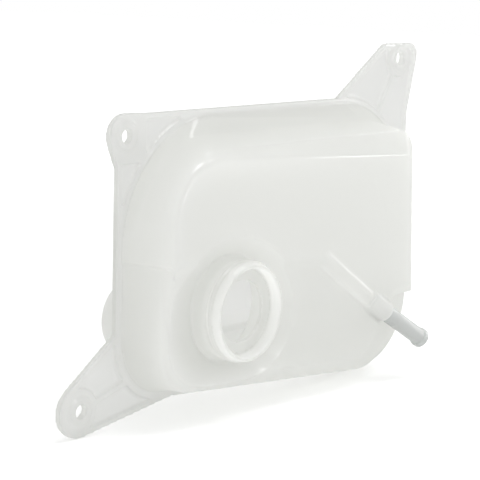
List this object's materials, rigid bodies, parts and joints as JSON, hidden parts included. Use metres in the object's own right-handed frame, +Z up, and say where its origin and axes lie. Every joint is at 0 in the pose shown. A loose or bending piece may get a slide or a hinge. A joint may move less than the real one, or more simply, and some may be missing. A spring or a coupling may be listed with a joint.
{
  "type": "coolant expansion tank",
  "caption": "Milky blown plastic coolant bottle with a screw flange and lugs, a stepped front, an open filler neck in a flared recess and a slanting hose pipe.",
  "frame": {"origin": "centre of the upper left screw hole on the rear face of the flange", "axes": "+X right along the flange, +Z up, and the front of the tank looks towards -Y"},
  "size_m": [0.3253, 0.0783, 0.2161],
  "materials": {
    "milky_plastic": "natural translucent polypropylene, satin from the mould",
    "pipe_plastic": "smooth grey-white plastic tube"
  },
  "bodies": {
    "root": {"tank": "milky_plastic", "hose_pipe": "pipe_plastic"}
  },
  "joints": []
}
